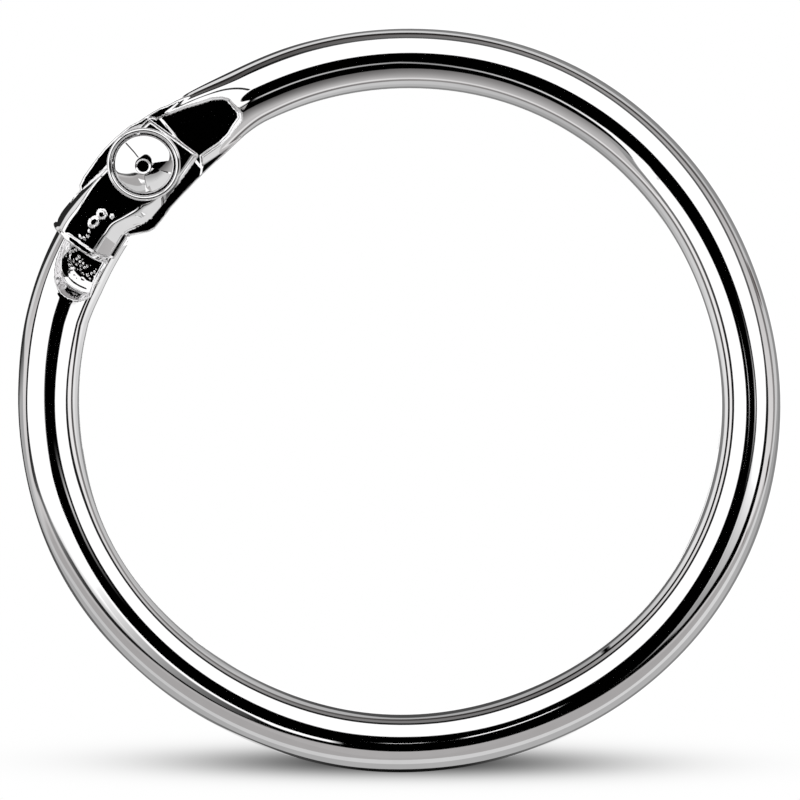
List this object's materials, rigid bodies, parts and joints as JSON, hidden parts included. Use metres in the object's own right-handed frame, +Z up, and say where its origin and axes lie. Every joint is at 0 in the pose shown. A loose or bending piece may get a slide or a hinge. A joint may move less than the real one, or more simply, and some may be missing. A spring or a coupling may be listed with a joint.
{
  "type": "hinged binder ring",
  "caption": "Hinged loose-leaf ring of plated steel tube: a slit clevis half and a flattened tongue half on a domed rivet, closed by a snap pin inside the tube.",
  "frame": {"origin": "the ring's centre on the desk that it lies on", "axes": "+Z up along the ring's axis, towards the rivet's domed head; +Y towards the picture's top and +X towards its right, so the hinge is at upper left and the snap joint at lower right"},
  "size_m": [0.0452, 0.0452, 0.0051],
  "materials": {
    "plated_half": "bright nickel plate, mirror smooth",
    "plated_rivet": "bright nickel plate, mirror smooth",
    "bright_pin": "plain bright steel"
  },
  "bodies": {
    "clevis_side": {"clevis_half": "plated_half", "hinge_rivet": "plated_rivet"},
    "tongue_side": {"tongue_half": "plated_half", "snap_pin": "bright_pin"}
  },
  "joints": [
    {"name": "ring_hinge", "type": "hinge", "parent": "clevis_side", "child": "tongue_side", "pos_m": [-0.01488, 0.01468, 0.0018], "axis": [0, 0, 1], "range_deg": [0, 120]}
  ]
}
